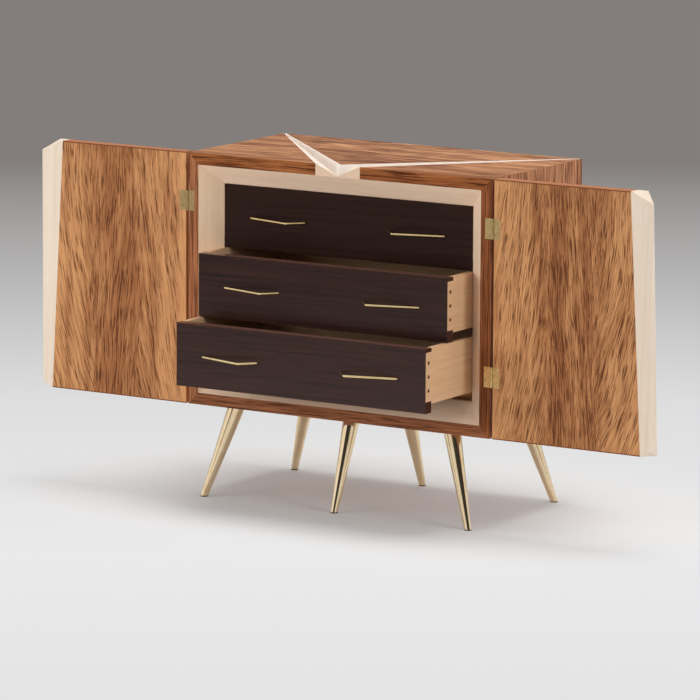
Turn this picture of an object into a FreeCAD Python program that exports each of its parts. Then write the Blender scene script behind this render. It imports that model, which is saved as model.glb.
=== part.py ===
"""Cabinet on six splayed legs: a folded top, two full-height doors and three pegged drawers.

The front faces -Y and +Z is up. The origin is on the floor under the front middle foot.
The cabinet is drawn as it stands in use: doors folded right back, two drawers pulled out.
"""
import FreeCAD, Part
import math
import os
import re

import Sketcher

# Driving dimensions, in millimetres and degrees
SIZES = {
    # carcase
    "case_width": 800,
    "case_depth": 400,
    "case_height": 580,
    "panel_thick": 27,
    "back_thick": 9,
    "back_inset": 3,
    "leg_rise": 210,
    "front_line": 8.5,
    # folded top
    "fold_half_width": 58.5,
    "fold_depth": 25,
    "fold_prow": 10,
    "fold_lip": 3,
    "fold_tail": 4,
    # splayed frame round the drawers
    "splay_width": 43.5,
    "splay_depth": 41.5,
    "splay_board": 16,
    # drawer case
    "liner_thick": 15,
    "runner_width": 18,
    "runner_setback": 3,
    "kick_clearance": 1,
    "kicker_height": 18,
    "rail_thick": 18,
    # drawers
    "front_gap": 1.5,
    "end_gap": 1,
    "front_thick": 24,
    "front_skirt": 20,
    "drawer_room": 11.5,
    "drawer_side": 12,
    "drawer_back": 12,
    "back_drop": 4,
    "shoulder_top": 8.5,
    "shoulder_base": 6,
    "bottom_thick": 6,
    "bottom_groove": 6,
    "bottom_rise": 8,
    "peg_width": 8.5,
    "peg_pitch": 31,
    "peg_setback": 12,
    "peg_length": 34,
    "middle_drawer_out": 107,
    "bottom_drawer_out": 197,
    # pulls
    "pull_rod": 5,
    "pull_inset": 72.5,
    "pull_run": 116,
    "pull_return": 29.5,
    "pull_proud": 38,
    "pull_bend": 5,
    "pull_root": 12,
    "pull_stub": 4.5,
    # doors
    "door_thick": 30,
    "door_gap": 1,
    "meeting_gap": 2,
    "strip_base": 27,
    "corner_lift": 12,
    "lipping": 2.5,
    # hinges
    "hinge_height": 46,
    "hinge_leaf": 19.5,
    "leaf_thick": 1.8,
    "knuckle_width": 6.5,
    "knuckle_gap": 0.3,
    "pin_width": 3.2,
    "pin_play": 0.05,
    "hinge_offset": 3.6,
    "hinge_top_drop": 110.5,
    "hinge_base_rise": 138,
    "screw_head": 6,
    "screw_shank": 3,
    "screw_sink": 1.5,
    "screw_length": 15,
    "screw_pitch": 15,
    # legs
    "foot_inset": 48,
    "rear_foot_inset": 24.5,
    "leg_splay": 19.7,
    "corner_heading": 60,
    "leg_top_width": 39,
    "leg_foot_width": 16,
    "pad_thick": 2.5,
    "stud_width": 8,
    "stud_in_leg": 25,
    "stud_in_base": 16,
}

# Places that several pieces share, worked out from the driving dimensions
HALF = "(case_width / 2)"
CROWN = "(leg_rise + case_height)"
INNER = "(case_width / 2 - panel_thick)"
FLOOR = "(leg_rise + panel_thick)"
CEILING = "(leg_rise + case_height - panel_thick)"
REAR = "(front_line + case_depth)"
OPEN_HALF = "(case_width / 2 - panel_thick - splay_width)"
OPEN_BASE = "(leg_rise + panel_thick + splay_width)"
OPEN_TOP = "(leg_rise + case_height - panel_thick - splay_width)"
LINER_FRONT = "(front_line + splay_depth + splay_board)"
BACK_FACE = "(front_line + case_depth - back_inset - back_thick)"
FACE = "(front_line + splay_depth)"
FRONT_HEIGHT = f"(({OPEN_TOP} - {OPEN_BASE} - 4 * front_gap) / 3)"
DRAWER_END = f"({OPEN_HALF} - end_gap)"
DRAWER_LENGTH = f"({BACK_FACE} - {FACE} - drawer_room)"
HINGE_X = "(case_width / 2 + hinge_offset)"
HINGE_Y = "(front_line - door_gap / 2)"
HINGE_HEIGHTS = ("(leg_rise + case_height - hinge_top_drop)", "(leg_rise + hinge_base_rise)")

# Drawers from the bottom up, with how far each stands out of the case
DRAWERS = (("bottom_drawer", "bottom_drawer_out"),
           ("middle_drawer", "middle_drawer_out"),
           ("top_drawer", "0"))
SIDES = (("left", -1), ("right", 1))
UP = FreeCAD.Vector(0, 0, 1)

doc = FreeCAD.newDocument("CabinetOnLegs")
sheet = doc.addObject("Spreadsheet::Sheet", "Sizes")
for row, (alias, number) in enumerate(SIZES.items(), 1):
    sheet.set(f"A{row}", alias)
    sheet.set(f"B{row}", str(number))
    sheet.setAlias(f"B{row}", alias)
doc.recompute()
nodes = []


# Helpers that turn size formulas into bound objects

def expr(formula):
    """The formula with each size name pointing at its cell in the sheet."""
    def cell(word):
        name = word.group()
        return "Sizes." + name if name in SIZES else name

    return re.sub(r"[a-z_]+", cell, formula)


def size(formula):
    """The formula's present value."""
    return float(sheet.evalExpression(expr(formula)))


def bind(thing, **formulas):
    """Tie properties to formulas; Base_x and the like stand for the placement."""
    for name, formula in formulas.items():
        path = "Placement.Base." + name[-1] if name.startswith("Base_") else name
        thing.setExpression(path, expr(formula))


def node(thing, name):
    """Keep the object as the sub-part of that name."""
    thing.Label = name
    nodes.append(thing)
    return thing


def board(name, x, y, z):
    """A square-edged board between a low and a high formula along each axis."""
    box = doc.addObject("Part::Box", name)
    bind(box, Length=f"{x[1]} - {x[0]}", Width=f"{y[1]} - {y[0]}", Height=f"{z[1]} - {z[0]}")
    bind(box, Base_x=x[0], Base_y=y[0], Base_z=z[0])
    return box


def cut(name, base, *tools):
    """The base with every tool taken out of it."""
    for number, tool in enumerate(tools):
        result = doc.addObject("Part::Cut", f"{name}_{number}")
        result.Base = base
        result.Tool = tool
        base = result
    return base


def group(name, pieces):
    """Separate like pieces kept together."""
    together = doc.addObject("Part::Compound", name)
    together.Links = pieces
    return together


def shaped(name, shape, placement=None):
    """A faceted or bent piece whose shape is worked out from the sheet."""
    feature = doc.addObject("Part::Feature", name)
    feature.Shape = shape
    if placement:
        feature.Placement = placement
    return feature


def new_body(name, x="0", y="0", z="0"):
    """A body whose own origin stands at the given place."""
    body = doc.addObject("PartDesign::Body", name)
    bind(body, Base_x=x, Base_y=y, Base_z=z)
    return body


def outline(body, role, offset, rings):
    """A sketch on one of the body's planes, each corner tied to two formulas."""
    sketch = body.newObject("Sketcher::SketchObject", body.Name + "_outline")
    plane = next(item for item in body.Origin.OriginFeatures if item.Role == role)
    sketch.AttachmentSupport = [(plane, "")]
    sketch.MapMode = "FlatFace"
    sketch.setExpression("AttachmentOffset.Base.z", expr(offset))
    for ring in rings:
        first = sketch.GeometryCount
        corners = [FreeCAD.Vector(size(u), size(v), 0) for u, v in ring]
        for here, there in zip(corners, corners[1:] + corners[:1]):
            sketch.addGeometry(Part.LineSegment(here, there))
        for number in range(len(ring)):
            following = first + (number + 1) % len(ring)
            sketch.addConstraint(Sketcher.Constraint("Coincident", first + number, 2, following, 1))
        for number, formulas in enumerate(ring):
            tie_corner(sketch, first + number, formulas, corners[number])
    return sketch


def tie_corner(sketch, edge, formulas, corner):
    """Hold the start of an edge at its two formulas, or on the axis where a formula is 0."""
    for kind, axis, formula, value in zip(("DistanceX", "DistanceY"), (-2, -1), formulas, corner):
        if formula == "0":
            sketch.addConstraint(Sketcher.Constraint("PointOnObject", edge, 1, axis))
            continue
        index = sketch.addConstraint(Sketcher.Constraint(kind, -1, 1, edge, 1, value))
        sketch.setExpression(f"Constraints[{index}]", expr(formula))


def pad(body, sketch, length, reversed_=False):
    """Raise a sketch into a solid."""
    feature = body.newObject("PartDesign::Pad", body.Name + "_pad")
    feature.Profile = sketch
    feature.Reversed = reversed_
    feature.setExpression("Length", expr(length))
    doc.recompute()
    return feature


def pocket(body, sketch, length):
    """Take a sketch out of the solid, along the sketch's own normal."""
    before = body.Shape.Volume
    feature = body.newObject("PartDesign::Pocket", body.Name + "_pocket")
    feature.Profile = sketch
    feature.Reversed = True
    feature.setExpression("Length", expr(length))
    doc.recompute()
    if body.Shape.Volume >= before:
        raise RuntimeError(f"{body.Name}: a pocket took nothing away")
    return feature


def point(x, y, z):
    """A point from three formulas or numbers."""
    return FreeCAD.Vector(*(size(value) if isinstance(value, str) else value for value in (x, y, z)))


def slab(corners, along):
    """A flat polygon drawn out along a vector."""
    return Part.Face(Part.makePolygon(corners + corners[:1])).extrude(along)


def trim(shape, plane, inside):
    """What is left of a shape on the inside point's side of a plane through three points."""
    one, two, three = plane
    normal = (two - one).cross(three - one).normalize()
    if normal.dot(inside - one) > 0:
        normal = normal * -1
    reach = 3 * size("case_width")
    block = Part.makeBox(2 * reach, 2 * reach, reach, FreeCAD.Vector(-reach, -reach, 0))
    block.Placement = FreeCAD.Placement(one, FreeCAD.Rotation(UP, normal))
    return shape.cut(block)


def mirrored(shape, sign):
    """The shape itself on the right, and its mirror image on the left."""
    return shape if sign > 0 else shape.mirror(FreeCAD.Vector(), FreeCAD.Vector(1, 0, 0))


# Hinge hardware, drawn with the door shut

def screw_shape(x, y, z, direction):
    """A countersunk wood screw whose flat head lies at the point."""
    at = FreeCAD.Vector(x, y, z)
    into = FreeCAD.Vector(0, direction, 0)
    head = Part.makeCone(size("screw_head / 2"), size("screw_shank / 2"), size("screw_sink"), at, into)
    shank = Part.makeCylinder(size("screw_shank / 2"), size("screw_length"), at, into)
    return head.fuse(shank).removeSplitter()


def screw_places(height):
    """Centres of one leaf's three screws, along the hinge's line."""
    x = size(f"{HINGE_X} - (hinge_leaf + knuckle_width / 2 + knuckle_gap) / 2")
    return [(x, size(height) + step * size("screw_pitch")) for step in (-1, 0, 1)]


def leaf_plate(height, moving):
    """One leaf's plate, let in flush with the wood that carries it."""
    low = "front_line - door_gap - leaf_thick" if moving else "front_line"
    corner = point(f"{HINGE_X} - hinge_leaf", low, f"{height} - hinge_height / 2")
    width = size("hinge_leaf - knuckle_width / 2 - knuckle_gap")
    return Part.makeBox(width, size("leaf_thick"), size("hinge_height"), corner)


def leaf_shape(height, moving):
    """A leaf with its share of the five knuckles, bored for the pin and sunk for the screws."""
    leaf = leaf_plate(height, moving)
    low = "front_line - door_gap - leaf_thick" if moving else "front_line"
    step = size("hinge_height / 5")
    for number in range(1 if moving else 0, 5, 2):
        base = size(f"{height} - hinge_height / 2") + number * step
        trimmed = size("knuckle_gap / 2") * ((number > 0) + (number < 4))
        base += size("knuckle_gap / 2") * (number > 0)
        arm = Part.makeBox(size("hinge_leaf - 1"), size("leaf_thick"), step - trimmed,
                           FreeCAD.Vector(size(f"{HINGE_X} - hinge_leaf"), size(low), base))
        barrel = Part.makeCylinder(size("knuckle_width / 2"), step - trimmed,
                                   FreeCAD.Vector(size(HINGE_X), size(HINGE_Y), base))
        leaf = leaf.fuse(arm).fuse(barrel)
    bore = Part.makeCylinder(size("pin_width / 2 + pin_play"), size("hinge_height"),
                             point(HINGE_X, HINGE_Y, f"{height} - hinge_height / 2"))
    leaf = leaf.cut(bore)
    for screw in leaf_screws(height, moving):
        leaf = leaf.cut(screw)
    return leaf.removeSplitter()


def leaf_screws(height, moving):
    """The three screws that hold one leaf."""
    y = size("front_line - door_gap" if moving else "front_line")
    return [screw_shape(x, y, z, -1 if moving else 1) for x, z in screw_places(height)]


def housing(moving):
    """Everything that a hinge line takes out of the wood: leaf recesses and screw holes."""
    pieces = []
    for height in HINGE_HEIGHTS:
        pieces.append(leaf_plate(height, moving))
        pieces.extend(leaf_screws(height, moving))
    return pieces


def open_placement(sign):
    """Half a turn about the hinge line, which folds a shut door right back."""
    centre = FreeCAD.Vector(sign * size(HINGE_X), size(HINGE_Y), 0)
    return FreeCAD.Placement(FreeCAD.Vector(), FreeCAD.Rotation(UP, 180), centre)


# Carcase boards

def case_side(name, sign):
    """A side board, mitred to the top and the base, recessed for the hinges."""
    body = new_body(name + "_blank")
    ring = [(f"{sign} * {HALF}", "leg_rise"), (f"{sign} * {HALF}", CROWN),
            (f"{sign} * {INNER}", CEILING), (f"{sign} * {INNER}", FLOOR)]
    pad(body, outline(body, "XZ_Plane", "-front_line", [ring]), "case_depth", True)
    tool = mirrored(Part.makeCompound(housing(False)), sign)
    node(cut(name, body, shaped(name + "_housing", tool)), name)


def case_base(studs):
    """The base board, mitred to the sides and drilled for the leg studs."""
    body = new_body("base_blank")
    ring = [(f"-1 * {HALF}", "leg_rise"), (HALF, "leg_rise"), (INNER, FLOOR), (f"-1 * {INNER}", FLOOR)]
    pad(body, outline(body, "XZ_Plane", "-front_line", [ring]), "case_depth", True)
    node(cut("base_panel", body, studs), "base_panel")


def case_back():
    """The thin back, let in between the boards."""
    depth = (BACK_FACE, f"({REAR} - back_inset)")
    back = board("back_panel", (f"-1 * {INNER}", INNER), depth, (FLOOR, CEILING))
    node(back, "back_panel")


# Folded top: three veneered fields parted by a V groove in pale wood

def plan(corners):
    """A full-thickness piece of the top from corners given in plan, measured back from the front."""
    base = size(CEILING)
    ring = [FreeCAD.Vector(x, size("front_line") + y, base) for x, y in corners]
    return slab(ring, FreeCAD.Vector(0, 0, size("panel_thick")))


def fold_plane():
    """The groove's gentle outer wall on the right, which runs on through the doors."""
    return (point("fold_half_width", "front_line", CROWN), point(HALF, REAR, CROWN),
            point(0, "front_line", f"{CROWN} - fold_depth"))


def top_mitre(shape):
    """The shape cut off along the mitre with the right-hand side board."""
    plane = (point(HALF, "front_line", CROWN), point(HALF, REAR, CROWN), point(INNER, "front_line", CEILING))
    return trim(shape, plane, point(0, "front_line", CEILING))


def top_fold():
    """The right-hand arm of the V: solid pale wood with the groove cut into it."""
    half = size(HALF)
    depth = size("case_depth")
    prow = size("fold_prow")
    tail = half - size("fold_tail")
    lip = size("fold_lip")
    lip_tail = tail - lip * tail / (depth - prow)
    arm = plan([(0, 0), (size("fold_half_width"), 0), (half, depth), (lip_tail, depth), (0, prow + lip)])
    front = size("front_line")
    crown = size(CROWN)
    corner = FreeCAD.Vector(0, front, crown - size("fold_depth"))
    groove = Part.makeBox(half, depth, size("fold_depth"), corner)
    groove = trim(groove, fold_plane(), FreeCAD.Vector(0, front, crown))
    inner_wall = (FreeCAD.Vector(0, front + prow, crown), FreeCAD.Vector(tail, front + depth, crown),
                  point(0, "front_line", f"{CROWN} - fold_depth"))
    groove = trim(groove, inner_wall, FreeCAD.Vector(half, front, crown))
    return top_mitre(arm.cut(groove)), (lip_tail, depth, prow + lip)


def folded_top():
    """The five pieces of the top."""
    arm, (lip_tail, depth, tip) = top_fold()
    half = size(HALF)
    field = top_mitre(plan([(size("fold_half_width"), 0), (half, 0), (half, depth)]))
    for side, sign in SIDES:
        node(shaped(f"top_{side}_panel", mirrored(field, sign)), f"top_{side}_panel")
        node(shaped(f"top_{side}_fold", mirrored(arm, sign)), f"top_{side}_fold")
    centre = plan([(0, tip), (lip_tail, depth), (-lip_tail, depth)])
    for _ in SIDES:
        centre = mirrored(top_mitre(centre), -1)
    node(shaped("top_centre_panel", centre), "top_centre_panel")


# Splayed pale frame that leads in to the drawers

def splay_frame():
    """Four sloping boards, mitred at the corners."""
    outer = [(-1, FLOOR), (1, FLOOR), (1, CEILING), (-1, CEILING)]
    inner = [(-1, OPEN_BASE), (1, OPEN_BASE), (1, OPEN_TOP), (-1, OPEN_TOP)]
    names = ("splay_base", "splay_right", "splay_top", "splay_left")
    for number, name in enumerate(names):
        pair = (number, (number + 1) % 4)
        front = [point(f"{outer[i][0]} * {INNER}", "front_line", outer[i][1]) for i in pair]
        behind = [point(f"{inner[i][0]} * {OPEN_HALF}", FACE, inner[i][1]) for i in reversed(pair)]
        node(shaped(name, slab(front + behind, FreeCAD.Vector(0, size("splay_board"), 0))), name)


# Drawer case behind the frame

def drawer_base(number):
    """Height of a drawer front's lower edge, counted from the bottom."""
    return f"({OPEN_BASE} + front_gap + {number} * ({FRONT_HEIGHT} + front_gap))"


def drawer_case():
    """Upright liners that carry the runners, a kicker over the top drawer and a rail below the bottom one."""
    start = f"({FACE} + front_thick + runner_setback)"
    half_rail = f"({OPEN_HALF} - runner_width)"
    rail_top = f"({drawer_base(0)} + front_skirt - kick_clearance)"
    depth = (start, f"({start} + rail_thick)")
    rail = board("front_rail", (f"(-1 * {half_rail})", half_rail), depth, (FLOOR, rail_top))
    node(rail, "front_rail")
    for side, sign in SIDES:
        spans = {"liner": (OPEN_HALF, f"({OPEN_HALF} + liner_thick)"),
                 "runner": (f"({OPEN_HALF} - runner_width)", OPEN_HALF)}
        if sign < 0:
            spans = {name: (f"(-1 * {high})", f"(-1 * {low})") for name, (low, high) in spans.items()}
        liner = board(f"{side}_liner", spans["liner"], (LINER_FRONT, BACK_FACE), (FLOOR, CEILING))
        node(liner, f"{side}_liner")
        bars = []
        for number in range(len(DRAWERS)):
            seat = f"({drawer_base(number)} + front_skirt)"
            foot = f"({seat} - front_skirt - front_gap + kick_clearance)"
            bars.append(board(f"{side}_runner_{number}", spans["runner"], (start, BACK_FACE), (foot, seat)))
        kick = f"({drawer_base(len(DRAWERS) - 1)} + {FRONT_HEIGHT} + kick_clearance)"
        lift = (kick, f"({kick} + kicker_height)")
        bars.append(board(f"{side}_kicker", spans["runner"], (start, BACK_FACE), lift))
        node(group(f"{side}_runners", bars), f"{side}_runners")


# Drawers

def lap_base():
    return "(front_skirt + shoulder_base)"


def lap_height():
    return f"({FRONT_HEIGHT} - shoulder_top - front_skirt - shoulder_base)"


def lap_ring(sign):
    """Plan of the mitred lap where a drawer side covers the end of the front."""
    end = f"{sign} * {DRAWER_END}"
    inside = f"{sign} * ({DRAWER_END} - drawer_side)"
    return [(end, "0"), (inside, "drawer_side"), (inside, "front_thick"), (end, "front_thick")]


def drawer_front(name, y, z, fittings):
    """The thick dark front, lapped at both ends and grooved for the bottom."""
    body = new_body(name + "_blank", "0", y, z)
    ring = [(f"-1 * {DRAWER_END}", "0"), (DRAWER_END, "0"), (DRAWER_END, "front_thick"),
            (f"-1 * {DRAWER_END}", "front_thick")]
    pad(body, outline(body, "XY_Plane", "0", [ring]), FRONT_HEIGHT)
    pocket(body, outline(body, "XY_Plane", lap_base(), [lap_ring(-1), lap_ring(1)]), lap_height())
    inside = f"({DRAWER_END} - drawer_side)"
    groove = [(f"-1 * {inside}", "front_thick - bottom_groove"), (inside, "front_thick - bottom_groove"),
              (inside, "front_thick"), (f"-1 * {inside}", "front_thick")]
    pocket(body, outline(body, "XY_Plane", "front_skirt + bottom_rise", [groove]), "bottom_thick")
    node(cut(name, body, *fittings), name)


def drawer_side(name, sign, y, z, pegs):
    """A pale side with its mitred lap, grooved for the bottom and bored for the pegs."""
    body = new_body(name + "_blank", "0", y, z)
    end = f"{sign} * {DRAWER_END}"
    inside = f"{sign} * ({DRAWER_END} - drawer_side)"
    deep = f"{sign} * ({DRAWER_END} - drawer_side + bottom_groove)"
    ring = [(inside, "front_thick"), (end, "front_thick"), (end, DRAWER_LENGTH), (inside, DRAWER_LENGTH)]
    pad(body, outline(body, "XY_Plane", "front_skirt", [ring]), f"{FRONT_HEIGHT} - front_skirt")
    pad(body, outline(body, "XY_Plane", lap_base(), [lap_ring(sign)]), lap_height())
    start = "front_thick - bottom_groove"
    groove = [(inside, start), (deep, start), (deep, DRAWER_LENGTH), (inside, DRAWER_LENGTH)]
    pocket(body, outline(body, "XY_Plane", "front_skirt + bottom_rise", [groove]), "bottom_thick")
    node(cut(name, body, pegs), name)


def drawer_pegs(name, y, z):
    """Three dark pegs through each lap into the end of the front."""
    middle = f"({z} + {lap_base()} + {lap_height()} / 2)"
    pegs = []
    for side, sign in SIDES:
        for step in (-1, 0, 1):
            peg = doc.addObject("Part::Cylinder", f"{name}_{side}_{step + 1}")
            bind(peg, Radius="peg_width / 2", Height="peg_length")
            inwards = FreeCAD.Rotation(FreeCAD.Vector(0, 1, 0), -90 * sign)
            peg.Placement = FreeCAD.Placement(FreeCAD.Vector(), inwards)
            bind(peg, Base_x=f"{sign} * {DRAWER_END}", Base_y=f"{y} + peg_setback",
                 Base_z=f"{middle} + {step} * peg_pitch")
            pegs.append(peg)
    return group(name, pegs)


def bent_rod(points, radius, bend):
    """A round rod along straight runs joined by tangent bends."""
    edges = []
    start = points[0]
    for before, here, after in zip(points, points[1:], points[2:]):
        back = (before - here).normalize()
        onward = (after - here).normalize()
        half_turn = back.getAngle(onward) / 2
        first = here + back * (bend / math.tan(half_turn))
        last = here + onward * (bend / math.tan(half_turn))
        middle = here + (back + onward).normalize() * (bend / math.sin(half_turn) - bend)
        edges.append(Part.LineSegment(start, first).toShape())
        edges.append(Part.Arc(first, middle, last).toShape())
        start = last
    edges.append(Part.LineSegment(start, points[-1]).toShape())
    ring = Part.Wire(Part.makeCircle(radius, points[0], points[1] - points[0]))
    return Part.Wire(edges).makePipeShell([ring], True, False)


def drawer_pulls(name, y, z):
    """A mirrored pair of rod pulls, each bent to a knee near the drawer's middle."""
    face = size(y)
    height = size(f"{z} + {FRONT_HEIGHT} / 2")
    root = face + size("pull_root")
    stub = face - size("pull_stub")
    outer = size(f"{DRAWER_END} - pull_inset")
    knee = outer - size("pull_run")
    inner = knee - size("pull_return")
    path = [(outer, root), (outer, stub), (knee, face - size("pull_proud")), (inner, stub), (inner, root)]
    points = [FreeCAD.Vector(x, depth, height) for x, depth in path]
    rod = bent_rod(points, size("pull_rod / 2"), size("pull_bend"))
    return shaped(name, Part.makeCompound([mirrored(rod, -1), rod]))


def drawer(name, number, out):
    """One drawer: front, sides, back, bottom, pegs and pulls."""
    y = f"({FACE} - {out})"
    z = drawer_base(number)
    inside = f"({DRAWER_END} - drawer_side)"
    pegs = node(drawer_pegs(f"{name}_pegs", y, z), f"{name}_pegs")
    pulls = node(drawer_pulls(f"{name}_pulls", y, z), f"{name}_pulls")
    drawer_front(f"{name}_front", y, z, (pegs, pulls))
    for side, sign in SIDES:
        drawer_side(f"{name}_{side}_side", sign, y, z, pegs)
    floor = f"({z} + front_skirt + bottom_rise)"
    reach = f"({inside} + bottom_groove)"
    node(board(f"{name}_bottom", (f"-1 * {reach}", reach),
               (f"({y} + front_thick - bottom_groove)", f"({y} + {DRAWER_LENGTH})"),
               (floor, f"({floor} + bottom_thick)")), f"{name}_bottom")
    node(board(f"{name}_back", (f"-1 * {inside}", inside),
               (f"({y} + {DRAWER_LENGTH} - drawer_back)", f"({y} + {DRAWER_LENGTH})"),
               (f"({floor} + bottom_thick)", f"({z} + {FRONT_HEIGHT} - back_drop)")), f"{name}_back")


# Doors, drawn shut and then folded back on their hinges

def strip_edge(z):
    """Distance of the pale strip's edge from the meeting line at a height."""
    share = (z - size("leg_rise")) / size("case_height")
    return size("strip_base") + share * size("fold_half_width - strip_base")


def door_slab(corners):
    """A piece as thick as the door from corners seen from the front."""
    face = size("front_line - door_gap")
    ring = [FreeCAD.Vector(x, face, z) for x, z in corners]
    return slab(ring, FreeCAD.Vector(0, -size("door_thick"), 0))


def door_strip():
    """The pale strip at the meeting edge, cut by the folds of the top and the front."""
    free = size("meeting_gap / 2")
    base = size("leg_rise")
    crown = size(CROWN)
    inner = size("front_line - door_gap")
    outer = inner - size("door_thick")
    strip = door_slab([(free, base), (strip_edge(base), base), (strip_edge(crown), crown), (free, crown)])
    keep = FreeCAD.Vector(size("strip_base"), inner, base + size("case_height / 4"))
    one, two, three = fold_plane()
    normal = (two - one).cross(three - one)
    tip = one.z - (normal.x * (free - one.x) + normal.y * (inner - one.y)) / normal.z
    edge = one.x - (two.x - one.x) / (two.y - one.y) * (one.y - outer)
    bevel = (FreeCAD.Vector(edge, outer, crown), FreeCAD.Vector(free, inner, tip),
             FreeCAD.Vector(free, outer, base))
    corner = (FreeCAD.Vector(size("strip_base"), inner, base),
              FreeCAD.Vector(free, inner, base + size("corner_lift")), FreeCAD.Vector(free, outer, base))
    for plane in ((one, two, three), bevel, corner):
        strip = trim(strip, plane, keep)
    return strip


def door(side, sign):
    """A door's panel, lippings and strip, with its share of the hinges."""
    base = size("leg_rise")
    crown = size(CROWN)
    half = size(HALF)
    low = base + size("lipping")
    high = crown - size("lipping")
    bands = {"panel": (low, high), "base": (base, low), "crown": (high, crown)}
    pieces = {}
    for band, (bottom, top) in bands.items():
        corners = [(strip_edge(bottom), bottom), (half, bottom), (half, top), (strip_edge(top), top)]
        pieces[band] = door_slab(corners)
    for tool in housing(True):
        pieces["panel"] = pieces["panel"].cut(tool)
    leaves = [leaf_shape(height, True) for height in HINGE_HEIGHTS]
    screws = [screw for height in HINGE_HEIGHTS for screw in leaf_screws(height, True)]
    shapes = {
        "panel": pieces["panel"],
        "lippings": Part.makeCompound([pieces["base"], pieces["crown"]]),
        "strip": door_strip(),
        "hinge_leaves": Part.makeCompound(leaves),
        "hinge_screws": Part.makeCompound(screws),
    }
    for piece, shape in shapes.items():
        name = f"{side}_door_{piece}"
        node(shaped(name, mirrored(shape, sign), open_placement(sign)), name)


def case_hinges():
    """The leaves, pins and screws that stay on the carcase."""
    leaves, pins, screws = [], [], []
    for height in HINGE_HEIGHTS:
        pin = Part.makeCylinder(size("pin_width / 2"), size("hinge_height"),
                                point(HINGE_X, HINGE_Y, f"{height} - hinge_height / 2"))
        for side, sign in SIDES:
            leaves.append(mirrored(leaf_shape(height, False), sign))
            pins.append(mirrored(pin, sign))
            screws.extend(mirrored(screw, sign) for screw in leaf_screws(height, False))
    for name, shapes in (("case_hinge_leaves", leaves), ("hinge_pins", pins), ("case_hinge_screws", screws)):
        node(shaped(name, Part.makeCompound(shapes)), name)


# Legs

def leg_stations():
    """Each leg's name, foot in plan and the heading that it leans towards, out from the cabinet."""
    turn = math.radians(size("corner_heading"))
    span = size(f"{HALF} - foot_inset")
    for row, y, way in (("front", 0, -1), ("rear", size(f"{REAR} - rear_foot_inset"), 1)):
        for side, sign in (("left", -1), ("middle", 0), ("right", 1)):
            heading = (sign * math.sin(turn), way * (math.cos(turn) if sign else 1))
            yield f"{row}_{side}_leg", (sign * span, y), heading


def leaning(thing, foot, heading, along):
    """Stand an upright primitive on a leg's slanting axis, at a distance up from the floor."""
    tilt = math.radians(size("leg_splay"))
    axis = FreeCAD.Vector(-heading[0] * math.sin(tilt), -heading[1] * math.sin(tilt), math.cos(tilt))
    base = FreeCAD.Vector(foot[0], foot[1], 0) + axis * along
    thing.Placement = FreeCAD.Placement(base, FreeCAD.Rotation(UP, axis))
    return thing


def slice_between(name, cone, low, high):
    """The part of a leg between two levels."""
    reach = "(case_width + case_depth)"
    band = board(f"{name}_band", (f"(-1 * {reach})", reach), (f"(-1 * {reach})", reach), (low, high))
    part = doc.addObject("Part::Common", name + "_slice")
    part.Base = cone
    part.Tool = band
    return part


def legs():
    """Six tapered metal legs with their pads and studs; returns the studs."""
    length = "(leg_rise / cos(leg_splay * 1 deg))"
    spare = "leg_top_width"
    pads, studs = [], []
    for name, foot, heading in leg_stations():
        cone = doc.addObject("Part::Cone", name + "_cone")
        taper = f"((leg_top_width - leg_foot_width) / 2 / {length})"
        bind(cone, Radius1=f"leg_foot_width / 2 - {taper} * {spare} / 2",
             Radius2=f"leg_top_width / 2 + {taper} * {spare} / 2", Height=f"{length} + {spare}")
        leaning(cone, foot, heading, -size(f"{spare} / 2"))
        stud = doc.addObject("Part::Cylinder", name + "_stud")
        bind(stud, Radius="stud_width / 2", Height="stud_in_leg + stud_in_base")
        leaning(stud, foot, heading, size(f"{length} - stud_in_leg"))
        node(cut(name, slice_between(name, cone, "pad_thick", "leg_rise"), stud), name)
        pads.append(slice_between(name + "_pad", cone, "0", "pad_thick"))
        studs.append(stud)
    node(group("foot_pads", pads), "foot_pads")
    return node(group("leg_studs", studs), "leg_studs")


case_base(legs())
for side, sign in SIDES:
    case_side(f"{side}_side_panel", sign)
case_back()
folded_top()
splay_frame()
drawer_case()
case_hinges()
for side, sign in SIDES:
    door(side, sign)
for number, (name, out) in enumerate(DRAWERS):
    drawer(name, number, out)
doc.recompute()

for thing in doc.Objects:
    if "Invalid" in thing.State or "Error" in thing.State:
        raise RuntimeError(f"{thing.Label} failed: {thing.State}")
for thing in nodes:
    if thing.Shape.isNull() or not thing.Shape.isValid() or not thing.Shape.Solids:
        raise RuntimeError(f"{thing.Label} has no valid shape")

os.makedirs("parts", exist_ok=True)
for thing in nodes:
    thing.Shape.exportStep(os.path.join("parts", thing.Label + ".step"))
    box = thing.Shape.BoundBox
    extent = f"{box.XLength:.1f} x {box.YLength:.1f} x {box.ZLength:.1f} mm"
    print(f"{thing.Label}: {len(thing.Shape.Solids)} solids, {extent}")
print(len(nodes), "nodes")
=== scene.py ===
# %% [markdown]
# A cabinet with a folded top, two figured doors and three pegged drawers, standing on
# six splayed brass legs. Every board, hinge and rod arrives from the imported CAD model
# at its real size. This lesson dresses those solids: it sets up the camera and the
# studio, works out each wood and metal as a node material, and adds the small
# worked details that a solid model leaves out.

# %% Load the cabinet
import math

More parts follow.
